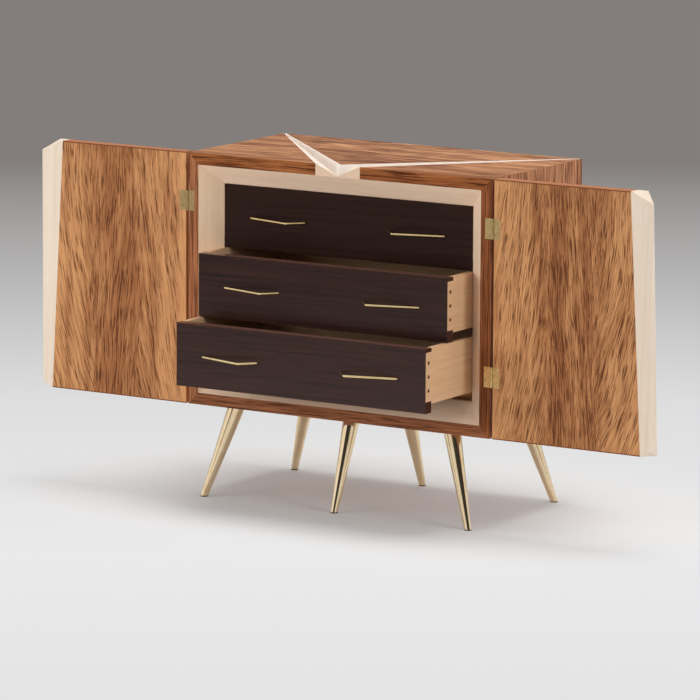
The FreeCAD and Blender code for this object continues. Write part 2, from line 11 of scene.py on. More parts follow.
import bpy
import mathutils
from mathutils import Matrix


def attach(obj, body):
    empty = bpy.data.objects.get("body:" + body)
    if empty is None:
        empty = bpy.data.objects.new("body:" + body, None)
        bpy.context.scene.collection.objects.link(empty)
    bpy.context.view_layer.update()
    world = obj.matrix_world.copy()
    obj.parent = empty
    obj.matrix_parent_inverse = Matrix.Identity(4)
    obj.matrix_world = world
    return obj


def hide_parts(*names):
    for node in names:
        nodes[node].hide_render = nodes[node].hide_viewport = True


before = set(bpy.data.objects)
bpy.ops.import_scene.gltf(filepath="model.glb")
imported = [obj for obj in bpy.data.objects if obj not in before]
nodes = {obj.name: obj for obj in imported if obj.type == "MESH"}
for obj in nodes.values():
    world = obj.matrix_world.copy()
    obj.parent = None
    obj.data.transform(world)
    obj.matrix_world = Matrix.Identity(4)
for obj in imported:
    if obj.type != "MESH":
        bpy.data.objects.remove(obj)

scene = bpy.context.scene
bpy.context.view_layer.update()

# %% [markdown]
# The photograph is taken from a long way off with a long lens, a little above the
# cabinet and to its right. The place, the turn and the lens below come from fitting
# the cabinet's own corners to the picture, so the render lines up with it corner by
# corner. A camera looks along its own -Z, so its turn is built from three directions.

# %% Camera
CAMERA_PLACE = (6.3086, -10.0172, 2.3963)
CAMERA_YAW, CAMERA_PITCH, CAMERA_ROLL = 32.0354, 9.6989, 0.2814
LENS, FILM_WIDTH = 275.21, 36
SIGHT_END = 200


def aim_camera(place, yaw, pitch, roll):
    """A camera at a place, turned left by yaw, down by pitch and over by roll, in degrees."""
    yaw, pitch, roll = (math.radians(angle) for angle in (yaw, pitch, roll))
    forward = mathutils.Vector((-math.sin(yaw) * math.cos(pitch),
                                math.cos(yaw) * math.cos(pitch), -math.sin(pitch)))
    right = mathutils.Vector((math.cos(yaw), math.sin(yaw), 0))
    up = right.cross(forward)
    side = right * math.cos(roll) + up * math.sin(roll)
    top = up * math.cos(roll) - right * math.sin(roll)
    data = bpy.data.cameras.new("studio_camera")
    data.lens = LENS
    data.sensor_width = FILM_WIDTH
    data.clip_end = SIGHT_END
    made = bpy.data.objects.new("studio_camera", data)
    scene.collection.objects.link(made)
    made.matrix_world = mathutils.Matrix((
        (side.x, top.x, -forward.x, place[0]),
        (side.y, top.y, -forward.y, place[1]),
        (side.z, top.z, -forward.z, place[2]),
        (0, 0, 0, 1)))
    return made


camera = aim_camera(CAMERA_PLACE, CAMERA_YAW, CAMERA_PITCH, CAMERA_ROLL)
scene.camera = camera
scene.view_settings.view_transform = "Standard"
print("camera at", tuple(round(value, 2) for value in camera.location))

# %% [markdown]
# Materials are written as node trees. A few small helpers keep them readable: one adds
# a node and fills or links its sockets in the same line, another starts a material
# with one Principled shader, and the rest do one step of arithmetic or colour. Sockets
# are filled with numbers, or with another node's output, which makes a link.

# %% Node helpers
def put(tree, kind, settings=(), **sockets):
    """Add a node; settings are its own properties, sockets are values or links."""
    made = tree.nodes.new("ShaderNode" + kind)
    for name, value in dict(settings).items():
        setattr(made, name, value)
    for name, value in sockets.items():
        numbered = name[0] == "i" and name[1:].isdigit()
        index = int(name[1:]) if numbered else name.replace("_", " ")
        if isinstance(value, bpy.types.NodeSocket):
            tree.links.new(value, made.inputs[index])
        else:
            made.inputs[index].default_value = value
    return made


def start_finish(name):
    """A new material with its output and one Principled shader."""
    material = bpy.data.materials.new(name)
    material.use_nodes = True
    tree = material.node_tree
    tree.nodes.clear()
    shader = put(tree, "BsdfPrincipled")
    put(tree, "OutputMaterial", Surface=shader.outputs["BSDF"])
    return material, tree, shader


def math_node(tree, operation, first, second=0.0, third=0.0):
    """One step of arithmetic on sockets or numbers."""
    return put(tree, "Math", {"operation": operation}, i0=first, i1=second, i2=third).outputs[0]


def smooth_step(tree, value, low, high, start=0.0, end=1.0):
    """Goes smoothly from start to end while a value goes from low to high."""
    made = put(tree, "MapRange", {"interpolation_type": "SMOOTHSTEP"}, Value=value,
               i1=low, i2=high, i3=start, i4=end)
    return made.outputs["Result"]


def srgb(red, green, blue):
    """A colour as read off a picture, from 0 to 255, in the linear form that nodes use."""
    def straight(value):
        value /= 255
        return value / 12.92 if value <= 0.04045 else ((value + 0.055) / 1.055) ** 2.4
    return straight(red), straight(green), straight(blue), 1


def ramp(tree, factor, *stops):
    """A colour ramp through (place, colour) stops."""
    made = put(tree, "ValToRGB", Fac=factor)
    bar = made.color_ramp.elements
    while len(bar) < len(stops):
        bar.new(0.5)
    for element, (place, colour) in zip(bar, stops):
        element.position = place
        element.color = colour
    return made.outputs["Color"]


def mix(tree, factor, low, high):
    """Mix two colours by a factor."""
    return put(tree, "Mix", {"data_type": "RGBA"}, i0=factor, i6=low, i7=high).outputs[2]


def blend(tree, factor, low, high):
    """Mix two numbers by a factor."""
    return put(tree, "Mix", {"data_type": "FLOAT"}, i0=factor, i2=low, i3=high).outputs[0]


print("node helpers ready")

# %% [markdown]
# The studio is one sheet of pale paper. The camera looks down so gently that the paper
# fills the whole picture, so no wall is needed and the cabinet can be seen from any
# side. Near the cabinet the paper is a matt surface that takes the shadow, but even in
# the middle of the shadow a little of a plain pale shade glows over it for the camera
# and shiny surfaces, a painted light that lifts the shadow. Farther off it darkens, as a
# sweep does where the lamps no longer reach, and there the camera and shiny surfaces are
# shown a plain shade instead. In a reflection the paper also fades out well in front of
# the cabinet, where a real studio stops being lit. Only what is seen changes: the light
# that falls on the cabinet stays the same.

# %% Floor
FLOOR_SIZE = 120
PAPER, PAPER_ROUGHNESS = (236, 236, 236), 0.9
PAPER_SHADES = ((-1.8, (228, 228, 228)), (-0.5, (234, 234, 234)), (1.4, (222, 222, 222)),
                (3.4, (183, 182, 182)), (5.9, (131, 126, 123)))
NEAREST, FARTHEST = -3.0, 12.0
LIT_REACH, UNLIT_SHADE = (1.5, 4.4), 0.10
SHADOW_SHIFT, SHADOW_STRETCH = (0.0, -0.24, 0.0), (0.85, 1.2, 1.0)
SHADOW_EDGE, SHADOW_LIFT = (0.42, 1.0), 0.12


def distance_of(tree, vector):
    """How far a place lies from the origin."""
    return put(tree, "VectorMath", {"operation": "LENGTH"}, i0=vector).outputs["Value"]


def seen_directly(tree):
    """1 for what the camera, a reflection or glass shows, 0 for the light that falls on things."""
    path = put(tree, "LightPath").outputs
    seen = math_node(tree, "MAXIMUM", path["Is Camera Ray"], path["Is Glossy Ray"])
    return math_node(tree, "MAXIMUM", seen, path["Is Transmission Ray"])


bpy.ops.object.select_all(action="DESELECT")
bpy.ops.mesh.primitive_plane_add(size=FLOOR_SIZE, location=(0, 0, 0))
floor = bpy.context.object
floor.name = "studio_floor"
material, tree, shader = start_finish("studio_paper")
shader.inputs["Base Color"].default_value = srgb(*PAPER)
shader.inputs["Roughness"].default_value = PAPER_ROUGHNESS
shader.inputs["Specular IOR Level"].default_value = 0.0
place = put(tree, "TexCoord").outputs["Object"]
turned = put(tree, "Mapping", Vector=place, Rotation=(0, 0, math.radians(-CAMERA_YAW)))
away = put(tree, "SeparateXYZ", Vector=turned.outputs["Vector"]).outputs["Y"]
depth = put(tree, "MapRange", Value=away, i1=NEAREST, i2=FARTHEST).outputs["Result"]
shades = [((distance - NEAREST) / (FARTHEST - NEAREST), srgb(*shade)) for distance, shade in PAPER_SHADES]
faded = smooth_step(tree, distance_of(tree, place), *LIT_REACH, 0.0, 1.0 - UNLIT_SHADE)
mirrored = put(tree, "LightPath").outputs["Is Glossy Ray"]
strength = math_node(tree, "SUBTRACT", 1.0, math_node(tree, "MULTIPLY", faded, mirrored))
glow = put(tree, "Emission", Color=ramp(tree, depth, *shades), Strength=strength)
stretched = put(tree, "Mapping", Vector=place, Location=SHADOW_SHIFT, Scale=SHADOW_STRETCH)
from_shadow = distance_of(tree, stretched.outputs["Vector"])
# SHADOW_LIFT keeps a little glow even in the shadow, a painted light that lightens it.
beyond = smooth_step(tree, from_shadow, *SHADOW_EDGE, SHADOW_LIFT, 1.0)
shown = math_node(tree, "MULTIPLY", seen_directly(tree), beyond)
blended = put(tree, "MixShader", i0=shown, i1=shader.outputs["BSDF"], i2=glow.outputs["Emission"])
tree.links.new(blended.outputs["Shader"], tree.nodes["Material Output"].inputs["Surface"])
floor.data.materials.append(material)
print("floor spans", tuple(round(v, 1) for v in floor.dimensions))

# %% [markdown]
# The light is a broad softbox overhead, which throws the cabinet's shadow straight down
# between its legs, a wide low one in front and to the left that lifts the doors and
# drawer fronts, and a weak one from the right. The softboxes themselves are left out of
# reflections.

# %% Lamps
LAMPS = (
    ("overhead_softbox", (0.15, 0.5, 4.6), (0, 0.2, 0.4), (2.6, 2.2), 120),
    ("front_softbox", (-3.4, -4.4, 1.25), (0, 0, 0.5), (4.0, 2.0), 150),
    ("right_softbox", (5.4, -0.6, 2.2), (0, 0, 0.5), (2.6, 2.6), 100),
)


def soft_lamp(name, place, target, size, power):
    """A softbox at a place that faces a target; its size is in metres, its power in watts."""
    data = bpy.data.lights.new(name, "AREA")
    data.shape = "RECTANGLE"
    data.size, data.size_y = size
    data.energy = power
    lamp = bpy.data.objects.new(name, data)
    scene.collection.objects.link(lamp)
    lamp.location = place
    aim = mathutils.Vector(target) - mathutils.Vector(place)
    lamp.rotation_euler = aim.to_track_quat("-Z", "Y").to_euler()
    lamp.visible_glossy = False


for lamp_settings in LAMPS:
    soft_lamp(*lamp_settings)

# %% [markdown]
# A pale even world stands for the white room. Polished metal shows the room itself, so
# what the world shows to the camera and to shiny surfaces is drawn separately: pale
# walls, a white window on the left and a dark curtain hung high across the front, which
# the legs pick up as a dark stripe. Turns and lifts are in degrees, seen from the
# cabinet: a turn of 0 looks straight out in front of it.

# %% The room
ROOM_LIGHT = 0.35
WALL_SHADE, WINDOW_SHADE, CURTAIN_SHADE = 0.80, 1.0, 0.04
CURTAIN_TURN, CURTAIN_LIFT = (-20, -13, 88, 104), (12.5, 15.5, 28, 36)
WINDOW_TURN, WINDOW_LIFT = (-70, -60, -26, -18), (-6, -2, 40, 50)


def inside_span(tree, value, span):
    """1 between the middle two of four numbers, falling smoothly to 0 at the outer two."""
    rise = smooth_step(tree, value, span[0], span[1])
    fall = smooth_step(tree, value, span[2], span[3], 1.0, 0.0)
    return math_node(tree, "MULTIPLY", rise, fall)


def hung(tree, turn, lift, turn_span, lift_span):
    """1 where something hangs in the room, by its spans of turn and lift."""
    sideways = inside_span(tree, turn, turn_span)
    return math_node(tree, "MULTIPLY", sideways, inside_span(tree, lift, lift_span))


world = bpy.data.worlds.new("studio_air")
world.use_nodes = True
tree = world.node_tree
tree.nodes.clear()
direction = put(tree, "SeparateXYZ", Vector=put(tree, "TexCoord").outputs["Object"]).outputs
turn = math_node(tree, "ARCTAN2", direction["X"], math_node(tree, "MULTIPLY", direction["Y"], -1.0))
turn = math_node(tree, "DEGREES", turn)
lift = math_node(tree, "DEGREES", math_node(tree, "ARCSINE", direction["Z"]))
walls = blend(tree, hung(tree, turn, lift, WINDOW_TURN, WINDOW_LIFT), WALL_SHADE, WINDOW_SHADE)
walls = blend(tree, hung(tree, turn, lift, CURTAIN_TURN, CURTAIN_LIFT), walls, CURTAIN_SHADE)
strength = blend(tree, seen_directly(tree), ROOM_LIGHT, walls)
air = put(tree, "Background", Color=(1, 1, 1, 1), Strength=strength)
put(tree, "OutputWorld", Surface=air.outputs["Background"])
scene.world = world
print("world:", world.name)

# %% [markdown]
# Wood keeps its grain in three directions: along the board, across it and through its
# thickness. Each wood below first turns Object coordinates into that space, in
# millimetres, so that the same recipe can serve boards that run up, across or back.
# A slow noise bends the lines, because a tree never grows quite straight. A second
# helper tilts the space about a level, for veneer that was cut at a slant.

# %% Grain space
AXES = "XYZ"
MILLIMETRE = 0.001
PIVOT = 500.0
DRIFT_ALONG, DRIFT_ACROSS, DRIFT_THROUGH, DRIFT_DETAIL = 260, 95, 200, 1.5
SEED_STEP = 1000


def third_axis(one, two):
    """The axis that is neither of these."""
    return next(axis for axis in AXES if axis not in (one, two))


def grain_space(tree, along, across, wander, seed, mirrored=False):
    """Where a point lies in the wood: (across, through, along) in millimetres."""
    place = put(tree, "TexCoord").outputs["Object"]
    parts = put(tree, "SeparateXYZ", Vector=place)
    through = third_axis(along, across)
    lengths = {axis: math_node(tree, "MULTIPLY", parts.outputs[axis], 1 / MILLIMETRE) for axis in AXES}
    if mirrored:
        lengths[across] = math_node(tree, "ABSOLUTE", lengths[across])
    sizes = {along: 1 / DRIFT_ALONG, across: 1 / DRIFT_ACROSS, through: 1 / DRIFT_THROUGH}
    slow = [math_node(tree, "MULTIPLY_ADD", lengths[axis], sizes[axis], seed) for axis in AXES]
    drift = put(tree, "TexNoise", Scale=1, Detail=DRIFT_DETAIL,
                Vector=put(tree, "CombineXYZ", X=slow[0], Y=slow[1], Z=slow[2]).outputs["Vector"])
    bend = math_node(tree, "MULTIPLY_ADD", drift.outputs["Fac"], 2 * wander, -wander)
    sideways = math_node(tree, "ADD", lengths[across], bend)
    offset = math_node(tree, "ADD", lengths[through], SEED_STEP * seed)
    return put(tree, "CombineXYZ", X=sideways, Y=offset, Z=lengths[along]).outputs["Vector"]


def tilted(tree, space, lean, curl=0.0):
    """The same wood with its grain leaning sideways; curl makes it lean more lower down."""
    parts = put(tree, "SeparateXYZ", Vector=space).outputs
    rise = math_node(tree, "SUBTRACT", parts["Z"], PIVOT)
    slope = math_node(tree, "MULTIPLY_ADD", rise, curl / 2, -lean)
    sideways = math_node(tree, "MULTIPLY_ADD", rise, slope, parts["X"])
    return put(tree, "CombineXYZ", X=sideways, Y=parts["Y"], Z=parts["Z"]).outputs["Vector"]


def streaks(tree, space, width, length, detail=2.0, roughness=0.55):
    """Noise drawn out along the grain; width and length are in millimetres."""
    drawn = put(tree, "Mapping", Vector=space, Scale=(1 / width, 0.5 / width, 1 / length))
    noise = put(tree, "TexNoise", Vector=drawn.outputs["Vector"], Scale=1, Detail=detail,
                Roughness=roughness)
    return noise.outputs["Fac"]


def raise_grain(tree, shader, height, depth):
    """Bump from a height map, with its depth in millimetres."""
    bump = put(tree, "Bump", Height=height, Strength=1.0, Distance=depth * MILLIMETRE)
    tree.links.new(bump.outputs["Normal"], shader.inputs["Normal"])


print("grain space ready")

# %% [markdown]
# The figured veneer is a warm brown wood full of short dark flecks. The doors are a
# matched pair, mirror images about the middle of the cabinet, so the distance across
# the grain is measured from there. On each leaf the flecks lean out on both sides of a
# dark heart and stand almost upright inside it. That is made with three belts of
# flecks, each with its own lean, which fade into each other: a fleck is noise drawn
# out along its belt's lean and cut off at a threshold.

# %% Figured veneer
CLOUD, CLOUD_FLECK, PORE = (30, 420), (8, 110), (0.7, 26)
BELT_EDGE, BELT_FADE = (48.0, 128.0), 0.30
HEART_DARKER, OUTSIDE_LIGHTER = 0.19, 0.10
GROUND_SPAN, THIN_SPAN, PORE_SPAN = (0.38, 0.60), (0.46, 0.58), (0.5, 0.75)
MARK_LEVEL, MARK_PULL, MARK_EDGE = 0.645, -0.26, 0.11
THIN_WIDTH, THIN_LENGTH = 0.6, 1.3
THIN_INK, PORE_INK, MARK_INK = 0.28, 0.14, 0.85
SATIN, PORE_DULLING, VENEER_RELIEF = 0.42, 0.12, 0.04


def flecks(tree, space, belts, width, length):
    """The strongest of several belts of streaks; a belt is (place across, lean, curl), or has no place."""
    across = put(tree, "SeparateXYZ", Vector=space).outputs["X"]
    strongest = None
    for place, lean, curl in belts:
        found = streaks(tree, tilted(tree, space, lean, curl), width, length)
        if place is not None:
            off = math_node(tree, "ABSOLUTE", math_node(tree, "SUBTRACT", across, place))
            loss = put(tree, "MapRange", Value=off, i1=BELT_EDGE[0], i2=BELT_EDGE[1], i3=0.0, i4=BELT_FADE)
            found = math_node(tree, "SUBTRACT", found, loss.outputs["Result"])
        strongest = found if strongest is None else math_node(tree, "MAXIMUM", strongest, found)
    return strongest


def ink(tree, mask, strength, ground, colour):
    """Draw a mask over a ground, at a strength."""
    return mix(tree, math_node(tree, "MULTIPLY", mask, strength), ground, colour)


def figured_veneer(name, along, across, belts, tones, heart=None, wander=16.0, fleck=(2.4, 52.0),
                   crowd=0.0, seed=0.0, mirrored=False, shine=0.08):
    """Flecked veneer; tones are light ground, dark ground and fleck; heart is (place, half width)."""
    material, tree, shader = start_finish(name)
    space = grain_space(tree, along, across, wander, seed, mirrored)
    light, dark, deep = (srgb(*tone) for tone in tones)
    clouds = math_node(tree, "MULTIPLY", flecks(tree, space, belts, *CLOUD_FLECK), 0.5)
    shade = math_node(tree, "MULTIPLY_ADD", streaks(tree, space, *CLOUD), 0.5, clouds)
    if heart:
        place = put(tree, "SeparateXYZ", Vector=space).outputs["X"]
        off = math_node(tree, "ABSOLUTE", math_node(tree, "SUBTRACT", place, heart[0]))
        inside = math_node(tree, "SUBTRACT", 1.0, smooth_step(tree, off, 0.0, heart[1]))
        shade = math_node(tree, "SUBTRACT", shade, OUTSIDE_LIGHTER)
        shade = math_node(tree, "MULTIPLY_ADD", inside, HEART_DARKER, shade)
    ground = ramp(tree, shade, (GROUND_SPAN[0], light), (GROUND_SPAN[1], dark))
    start = math_node(tree, "MULTIPLY_ADD", shade, MARK_PULL, MARK_LEVEL - crowd)
    full = math_node(tree, "ADD", start, MARK_EDGE)
    marks = smooth_step(tree, flecks(tree, space, belts, *fleck), start, full)
    thin = flecks(tree, space, belts, fleck[0] * THIN_WIDTH, fleck[1] * THIN_LENGTH)
    pores = smooth_step(tree, streaks(tree, space, *PORE), *PORE_SPAN)
    coloured = ink(tree, smooth_step(tree, thin, *THIN_SPAN), THIN_INK, ground, deep)
    coloured = ink(tree, pores, PORE_INK, coloured, deep)
    coloured = ink(tree, marks, MARK_INK, coloured, deep)
    tree.links.new(coloured, shader.inputs["Base Color"])
    tree.links.new(math_node(tree, "MULTIPLY_ADD", pores, PORE_DULLING, SATIN), shader.inputs["Roughness"])
    shader.inputs["Specular IOR Level"].default_value = shine
    pits = math_node(tree, "MULTIPLY", math_node(tree, "ADD", pores, marks), -0.5)
    raise_grain(tree, shader, pits, VENEER_RELIEF)
    return material


print("figured veneer recipe ready")

# %% [markdown]
# A leaf of door veneer is measured in millimetres from the middle of the cabinet, as
# the doors stand when they are folded back. Each belt has its place, its lean and its
# curl. The two doors share everything but the seed of the noise and how crowded the
# flecks are.

# %% Door veneers
DOOR_TONES = ((214, 155, 104), (170, 112, 71), (86, 44, 24))
LEAF_BELTS = ((480, 0.15, 0.0003), (605, -0.07, 0.0), (725, 0.20, 0.0006))
LEAF_HEART = (605, 160)
LEAF = {"along": "Z", "across": "X", "belts": LEAF_BELTS, "tones": DOOR_TONES, "heart": LEAF_HEART,
        "mirrored": True}
left_veneer = figured_veneer("left_door_veneer", crowd=-0.008, seed=3.1, **LEAF)
right_veneer = figured_veneer("right_door_veneer", crowd=0.02, seed=7.7, **LEAF)
print("door veneers:", left_veneer.name, right_veneer.name)

# %% [markdown]
# The carcase is covered in the same veneer, but its front edges are darker, straight
# grained lippings with nearly black streaks. Both belong to one board, so one material
# carries both and picks by place: what lies in the plane of the cabinet's front takes
# the lipping, and so does what lies in the plane of its back, which is not seen in the
# photograph. The left upright is the palest of these edges.

# %% Carcase veneer with dark edges
HAIR = 0.3
CASE_BELTS = ((None, 0.03, 0.0),)
CASE_WANDER, CASE_FLECK = 26.0, (5.0, 100.0)
EDGE_WANDER, EDGE_SEED = 3.0, 1.3
EDGE_BAND, EDGE_BAND_DETAIL, EDGE_SPAN = (7, 200), 3, (0.36, 0.62)
EDGE_LINE, EDGE_LINE_DETAIL, EDGE_LINE_SPAN, EDGE_LINE_INK = (3.2, 110), 2.5, (0.49, 0.62), 0.85


def reach(name, axis, end):
    """How far a piece reaches along an axis, in millimetres: its min or its max."""
    return end(corner[AXES.index(axis)] for corner in nodes[name].bound_box) / MILLIMETRE


def on_plane(tree, axis, levels):
    """1 on faces that lie at one of these levels along an axis, in millimetres, else 0."""
    place = put(tree, "SeparateXYZ", Vector=put(tree, "TexCoord").outputs["Object"]).outputs[axis]
    found = 0.0
    for level in levels:
        hit = math_node(tree, "COMPARE", place, level * MILLIMETRE, HAIR * MILLIMETRE)
        found = math_node(tree, "MAXIMUM", hit, found)
    return found


def cover_faces(material, axis, levels, colour):
    """Give the faces of a finish that lie at these levels another colour."""
    tree = material.node_tree
    shader = next(item for item in tree.nodes if item.type == "BSDF_PRINCIPLED")
    field = shader.inputs["Base Color"].links[0].from_socket
    tree.links.new(mix(tree, on_plane(tree, axis, levels), field, colour), shader.inputs["Base Color"])


FRONT_PLANE, REAR_PLANE = (reach("left_side_panel", "Y", end) for end in (min, max))


def case_veneer(name, along, tones, edge_tones, seed, shine=0.06, crowd=-0.03):
    """Field veneer on the broad faces and a darker lipping on the front and rear edges."""
    material = figured_veneer(name, along, "Y", CASE_BELTS, tones, wander=CASE_WANDER, fleck=CASE_FLECK,
                              crowd=crowd, seed=seed, shine=shine)
    tree = material.node_tree
    space = grain_space(tree, along, third_axis(along, "Y"), EDGE_WANDER, seed + EDGE_SEED)
    light, dark, line = (srgb(*tone) for tone in edge_tones)
    bands = streaks(tree, space, *EDGE_BAND, EDGE_BAND_DETAIL)
    edge = ramp(tree, bands, (EDGE_SPAN[0], light), (EDGE_SPAN[1], dark))
    lines = smooth_step(tree, streaks(tree, space, *EDGE_LINE, EDGE_LINE_DETAIL), *EDGE_LINE_SPAN)
    edge = ink(tree, lines, EDGE_LINE_INK, edge, line)
    cover_faces(material, "Y", (FRONT_PLANE, REAR_PLANE), edge)
    return material


print("front plane at", round(FRONT_PLANE, 2), "rear plane at", round(REAR_PLANE, 2))

# %% [markdown]
# Level boards have their grain running from side to side, and upright ones have it
# running up. The top reflects almost nothing, because its sheen would wash out the
# figure when it is seen at this low angle.

# %% Carcase veneers
TOP_TONES = ((202, 146, 104), (138, 88, 58), (96, 52, 33))
CENTRE_TONES = ((216, 158, 114), (128, 80, 52), (84, 44, 28))
SIDE_TONES = ((222, 161, 121), (154, 102, 72), (106, 62, 42))
EDGE_TONES = ((168, 104, 62), (128, 74, 42), (64, 31, 16))
BASE_EDGE = ((156, 98, 64), (122, 74, 49), (72, 40, 26))
PALE_EDGE = ((180, 118, 80), (150, 94, 62), (92, 50, 30))
DARK_EDGE = ((152, 90, 54), (120, 68, 39), (64, 32, 17))
TOP_SHINE = 0.005
top_veneer = case_veneer("top_veneer", "X", TOP_TONES, EDGE_TONES, seed=1.7, shine=TOP_SHINE)
centre_veneer = case_veneer("top_centre_veneer", "X", CENTRE_TONES, EDGE_TONES, seed=2.6,
                            shine=TOP_SHINE, crowd=0.02)
base_veneer = case_veneer("base_veneer", "X", SIDE_TONES, BASE_EDGE, seed=4.4)
left_side_veneer = case_veneer("left_side_veneer", "Z", SIDE_TONES, PALE_EDGE, seed=5.9)
right_side_veneer = case_veneer("right_side_veneer", "Z", SIDE_TONES, DARK_EDGE, seed=6.8, crowd=0.01)
print("carcase veneers:", top_veneer.name, centre_veneer.name, base_veneer.name, left_side_veneer.name,
      right_side_veneer.name)

# %% [markdown]
# The plain woods are straight grained, and one recipe makes them all: broad soft growth
# bands, fine lines along the grain and short pores. Ring and line are the widths of a
# band and of a line in millimetres, gloss is the roughness, contrast is how much the
# lines count against the bands, and pore is how dark the pores are.

# %% Straight-grained wood
STRAIGHT_WANDER, STRAIGHT_LEAN = 4.0, 0.02
BAND_LENGTH, BAND_DETAIL, LINE_LENGTH, PIT_LENGTH = 320, 3, 60, 14
TONE_SPAN, PIT_SPAN = (0.34, 0.66), (0.58, 0.74)
PIT_WIDTH, PIT_SINK, GLOSS_SPREAD = 0.6, -0.6, 0.16


def straight_wood(name, along, across, tones, ring=9.0, line=0.9, gloss=0.45, contrast=0.5, pore=0.3,
                  seed=0.0, shine=0.06, relief=0.03):
    """Quiet wood with growth bands and fine lines; tones are light, dark and pore."""
    material, tree, shader = start_finish(name)
    space = tilted(tree, grain_space(tree, along, across, STRAIGHT_WANDER, seed), STRAIGHT_LEAN)
    light, dark, deep = (srgb(*tone) for tone in tones)
    bands = streaks(tree, space, ring, BAND_LENGTH, BAND_DETAIL)
    lines = streaks(tree, space, line, LINE_LENGTH)
    quiet = math_node(tree, "MULTIPLY", bands, 1 - contrast)
    tone = math_node(tree, "MULTIPLY_ADD", lines, contrast, quiet)
    colour = ramp(tree, tone, (TONE_SPAN[0], light), (TONE_SPAN[1], dark))
    pores = smooth_step(tree, streaks(tree, space, line * PIT_WIDTH, PIT_LENGTH), *PIT_SPAN)
    tree.links.new(ink(tree, pores, pore, colour, deep), shader.inputs["Base Color"])
    dulling = math_node(tree, "MULTIPLY_ADD", lines, GLOSS_SPREAD, gloss - GLOSS_SPREAD / 2)
    tree.links.new(dulling, shader.inputs["Roughness"])
    shader.inputs["Specular IOR Level"].default_value = shine
    raise_grain(tree, shader, math_node(tree, "MULTIPLY_ADD", pores, PIT_SINK, lines), relief)
    return material


print("straight wood recipe ready")

# %% [markdown]
# The pale woods are maple: nearly white on the folds and strips, and warmer on the
# splayed frame and the drawer sides. The drawer bottoms are the same maple painted much
# darker, a painted shade for the shadow that the drawers above cast into them. The folds
# are set darker on their faces in the plane of the cabinet's front.

# %% Pale woods
MAPLE = ((238, 222, 204), (227, 207, 185), (206, 178, 150))
FOLD_MAPLE = ((242, 232, 223), (234, 218, 204), (212, 188, 165))
FOLD_FRONT = (226, 195, 168)
FRAME_MAPLE = ((234, 207, 182), (222, 190, 162), (196, 158, 124))
PALE_FRAME = ((246, 217, 187), (233, 200, 167), (204, 166, 130))
DRAWER_MAPLE = ((222, 184, 146), (206, 164, 124), (170, 120, 80))
TRAY_MAPLE_PAINTED_SHADE = ((128, 98, 70), (106, 78, 53), (80, 56, 36))
maple_up = straight_wood("maple_strips", "Z", "X", MAPLE, seed=0.4)
maple_back = straight_wood("maple_folds", "Y", "X", FOLD_MAPLE, seed=2.3)
cover_faces(maple_back, "Y", (FRONT_PLANE,), srgb(*FOLD_FRONT))
frame_up = straight_wood("frame_maple_upright", "Z", "X", FRAME_MAPLE, seed=0.9)
frame_left = straight_wood("frame_maple_left", "Z", "X", PALE_FRAME, seed=0.6)
frame_across = straight_wood("frame_maple_across", "X", "Z", FRAME_MAPLE, seed=1.1)
drawer_maple = straight_wood("drawer_maple_long", "Y", "Z", DRAWER_MAPLE, seed=3.7)
drawer_maple_across = straight_wood("drawer_maple_across", "X", "Z", DRAWER_MAPLE, seed=4.9)
# The drawer bottoms are painted dark, a painted shade for the shadow of the drawer above.
shaded_tray_maple = straight_wood("drawer_maple_flat_shaded", "X", "Y", TRAY_MAPLE_PAINTED_SHADE, seed=5.3)
print("pale woods:", maple_up.name, maple_back.name, frame_up.name, frame_left.name, frame_across.name,
      drawer_maple.name, drawer_maple_across.name, shaded_tray_maple.name)

# %% [markdown]
# The drawer fronts are nearly black and satin, so what is seen on them is mostly the
# pale floor in front of the cabinet. The top drawer stands farther back in the shade of
# the case, and its front is a darker, less shiny copy of the same wood: painted shade
# with a dimmed reflection. The fronts' top edges are painted a lighter brown by place,
# a painted highlight where the overhead light falls on them. Pegs, lippings and runners
# are plain browns; the rail under the drawers is painted a pale brown, a painted light
# for the light that reaches it under the bottom drawer.

# %% Dark and brown woods
NEARLY_BLACK = ((60, 33, 26), (32, 16, 13), (18, 8, 6))
TOP_FRONT_SHADED_TONES = ((50, 28, 21), (30, 16, 12), (17, 8, 6))
FRONT_GRAIN = {"ring": 7.0, "line": 1.2, "contrast": 0.45, "pore": 0.4, "relief": 0.008}
DRAWER_TOPS = [reach(f"{row}_drawer_front", "Z", max) for row in ("bottom", "middle", "top")]
TOP_EDGE_PAINTED_HIGHLIGHT = (96, 62, 50)
PEG = ((96, 62, 34), (66, 40, 20), (40, 22, 10))
LIPPING = ((186, 120, 76), (154, 94, 56), (104, 58, 34))
LIPPING_FRONT = (128, 74, 46)
RAIL_PAINTED_LIGHT = ((228, 166, 108), (202, 140, 88), (138, 88, 50))
BROWN = ((142, 94, 56), (112, 70, 40), (76, 46, 26))
dark_front = straight_wood("dark_drawer_front", "X", "Z", NEARLY_BLACK, gloss=0.24, seed=6.1, shine=0.35,
                           **FRONT_GRAIN)
# The top drawer front is a darker, less shiny copy of the same wood: painted shade and a dimmed reflection
# for the shade of the case.
shaded_top_front = straight_wood("top_drawer_front", "X", "Z", TOP_FRONT_SHADED_TONES, gloss=0.28, seed=7.1, shine=0.19,
                             **FRONT_GRAIN)
